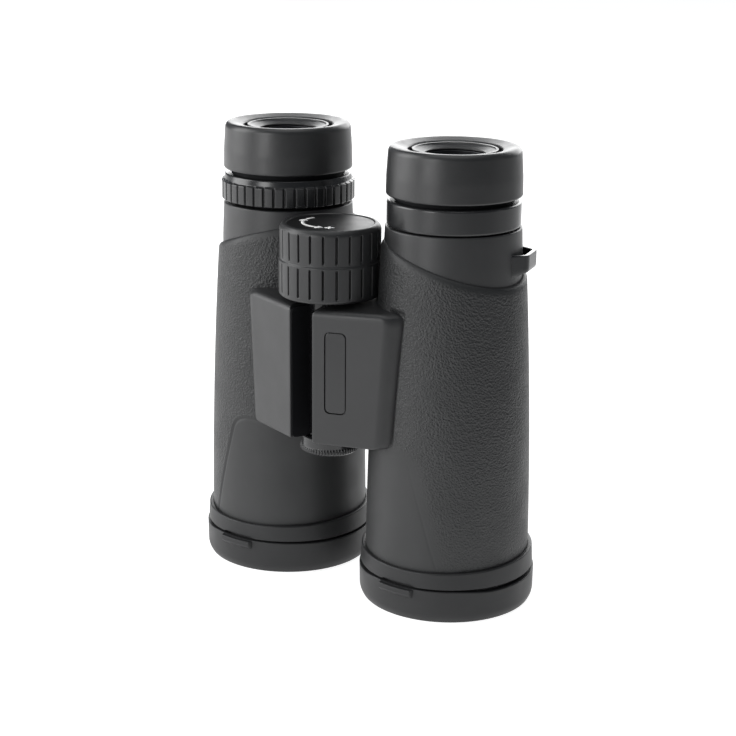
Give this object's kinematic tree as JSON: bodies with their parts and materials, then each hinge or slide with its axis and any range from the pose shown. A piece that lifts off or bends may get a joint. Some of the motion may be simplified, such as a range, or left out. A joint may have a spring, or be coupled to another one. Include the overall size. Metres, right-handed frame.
{
  "type": "binoculars",
  "caption": "Roof-prism binoculars with folding barrels, focus knob, dioptre ring, twist-up eyecups and flip-down lids.",
  "frame": {"origin": "on the floor, below the middle of the box that holds the whole object", "axes": "+Z from the objective lids up to the eyecups, -Y towards the top side with the hinge and focus knob, +X towards the user's left barrel"},
  "size_m": [0.1208, 0.0662, 0.1454],
  "materials": {
    "armor": "fine pebbled rubber, matt",
    "housing": "smooth soft-touch coating",
    "collar_plastic": "satin moulded plastic",
    "satin_plastic": "satin moulded plastic",
    "soft_rubber": "smooth soft rubber",
    "lid_rubber": "matt moulded rubber",
    "hinge_gloss": "polished black",
    "anodised": "black anodised",
    "brass": "turned",
    "steel": "ground",
    "objective_glass": "coated glass",
    "optical_glass": "polished glass"
  },
  "bodies": {
    "left_tube": {"hinge_tube": "hinge_gloss", "screw_bearing": "brass", "tripod_bush": "brass", "left_bridge": "housing", "left_bridge_inlay": "satin_plastic", "left_eyepiece_collar": "collar_plastic", "left_barrel_housing": "housing", "left_rubber_armor": "armor", "left_objective_lens": "objective_glass", "left_objective_ring": "anodised", "left_prism_cage": "housing", "left_half_penta_prism": "optical_glass", "left_roof_prism": "optical_glass", "left_eyecup_guide_tube": "anodised", "left_ocular_barrel": "anodised", "left_ocular_ring": "anodised", "left_eye_lens": "objective_glass", "left_field_lens": "optical_glass", "left_strap_lug": "satin_plastic", "left_cover_ring": "lid_rubber", "left_lid_pin": "steel"},
    "right_tube": {"right_bridge": "housing", "right_barrel_housing": "housing", "right_rubber_armor": "armor", "right_objective_lens": "objective_glass", "right_objective_ring": "anodised", "right_prism_cage": "housing", "right_half_penta_prism": "optical_glass", "right_roof_prism": "optical_glass", "right_eyecup_guide_tube": "anodised", "right_strap_lug": "satin_plastic", "right_cover_ring": "lid_rubber", "right_lid_pin": "steel"},
    "right_ocular": {"right_ocular_barrel": "anodised", "right_ocular_ring": "anodised", "right_eye_lens": "objective_glass", "right_field_lens": "optical_glass"},
    "diopter_dial": {"right_diopter_ring": "collar_plastic"},
    "focus_knob": {"focus_knob_core": "satin_plastic", "focus_knob_grip": "soft_rubber", "focus_knob_cap": "satin_plastic", "focus_screw": "steel"},
    "focus_carriage": {"focus_nut": "brass"},
    "left_focus": {"left_focus_lens_cell": "anodised", "left_focus_lens": "optical_glass"},
    "right_focus": {"right_focus_lens_cell": "anodised", "right_focus_lens": "optical_glass"},
    "left_eyecup_twister": {"left_eyecup_cam": "satin_plastic"},
    "left_eyecup_cup": {"left_eyecup": "soft_rubber"},
    "right_eyecup_twister": {"right_eyecup_cam": "satin_plastic"},
    "right_eyecup_cup": {"right_eyecup": "soft_rubber"},
    "left_lid": {"left_objective_lid": "lid_rubber"},
    "right_lid": {"right_objective_lid": "lid_rubber"},
    "tripod_plug": {"tripod_cap": "satin_plastic"}
  },
  "joints": [
    {"name": "ipd_hinge", "type": "hinge", "parent": "left_tube", "child": "right_tube", "pos_m": [0, -0.01715, 0.0735], "axis": [0, 0, 1], "range_deg": [-20.5, 30]},
    {"name": "focus_knob_spin", "type": "hinge", "parent": "left_tube", "child": "focus_knob", "pos_m": [0, -0.01715, 0.108], "axis": [0, 0, 1], "range_deg": [-210, 210]},
    {"name": "focus_nut_slide", "type": "slide", "parent": "left_tube", "child": "focus_carriage", "axis": [0, 0, 1], "range_m": [-0.003, 0.003]},
    {"name": "left_focus_slide", "type": "slide", "parent": "left_tube", "child": "left_focus", "axis": [0, 0, 1], "range_m": [-0.003, 0.003]},
    {"name": "right_focus_slide", "type": "slide", "parent": "right_tube", "child": "right_focus", "axis": [0, 0, 1], "range_m": [-0.003, 0.003]},
    {"name": "diopter_spin", "type": "hinge", "parent": "right_tube", "child": "diopter_dial", "pos_m": [-0.03245, 0.00215, 0.124], "axis": [0, 0, 1], "range_deg": [-40, 40]},
    {"name": "diopter_slide", "type": "slide", "parent": "right_tube", "child": "right_ocular", "axis": [0, 0, 1], "range_m": [-0.001, 0.001]},
    {"name": "left_eyecup_twist", "type": "hinge", "parent": "left_tube", "child": "left_eyecup_twister", "pos_m": [0.03245, 0.00215, 0.1283], "axis": [0, 0, 1], "range_deg": [0, 120]},
    {"name": "left_eyecup_rise", "type": "slide", "parent": "left_eyecup_twister", "child": "left_eyecup_cup", "axis": [0, 0, 1], "range_m": [0, 0.009]},
    {"name": "left_lid_hinge", "type": "hinge", "parent": "left_tube", "child": "left_lid", "pos_m": [0.03245, 0.03155, 0.0115], "axis": [1, 0, 0], "range_deg": [0, 150]},
    {"name": "right_eyecup_twist", "type": "hinge", "parent": "right_tube", "child": "right_eyecup_twister", "pos_m": [-0.03245, 0.00215, 0.1298], "axis": [0, 0, 1], "range_deg": [0, 120]},
    {"name": "right_eyecup_rise", "type": "slide", "parent": "right_eyecup_twister", "child": "right_eyecup_cup", "axis": [0, 0, 1], "range_m": [0, 0.009]},
    {"name": "right_lid_hinge", "type": "hinge", "parent": "right_tube", "child": "right_lid", "pos_m": [-0.03245, 0.03155, 0.0115], "axis": [1, 0, 0], "range_deg": [0, 150]},
    {"name": "tripod_cap_spin", "type": "hinge", "parent": "left_tube", "child": "tripod_plug", "pos_m": [0, -0.01715, 0.049], "axis": [0, 0, -1], "range_deg": [0, 720]}
  ],
  "couplings": [
    {"joint": "focus_nut_slide", "follows": "focus_knob_spin", "m_per_rad": 0.0008181},
    {"joint": "left_focus_slide", "follows": "focus_knob_spin", "m_per_rad": 0.0008181},
    {"joint": "right_focus_slide", "follows": "focus_knob_spin", "m_per_rad": 0.0008181},
    {"joint": "diopter_slide", "follows": "diopter_spin", "m_per_rad": 0.0014317},
    {"joint": "left_eyecup_rise", "follows": "left_eyecup_twist", "m_per_rad": 0.004295},
    {"joint": "right_eyecup_rise", "follows": "right_eyecup_twist", "m_per_rad": 0.004295}
  ]
}
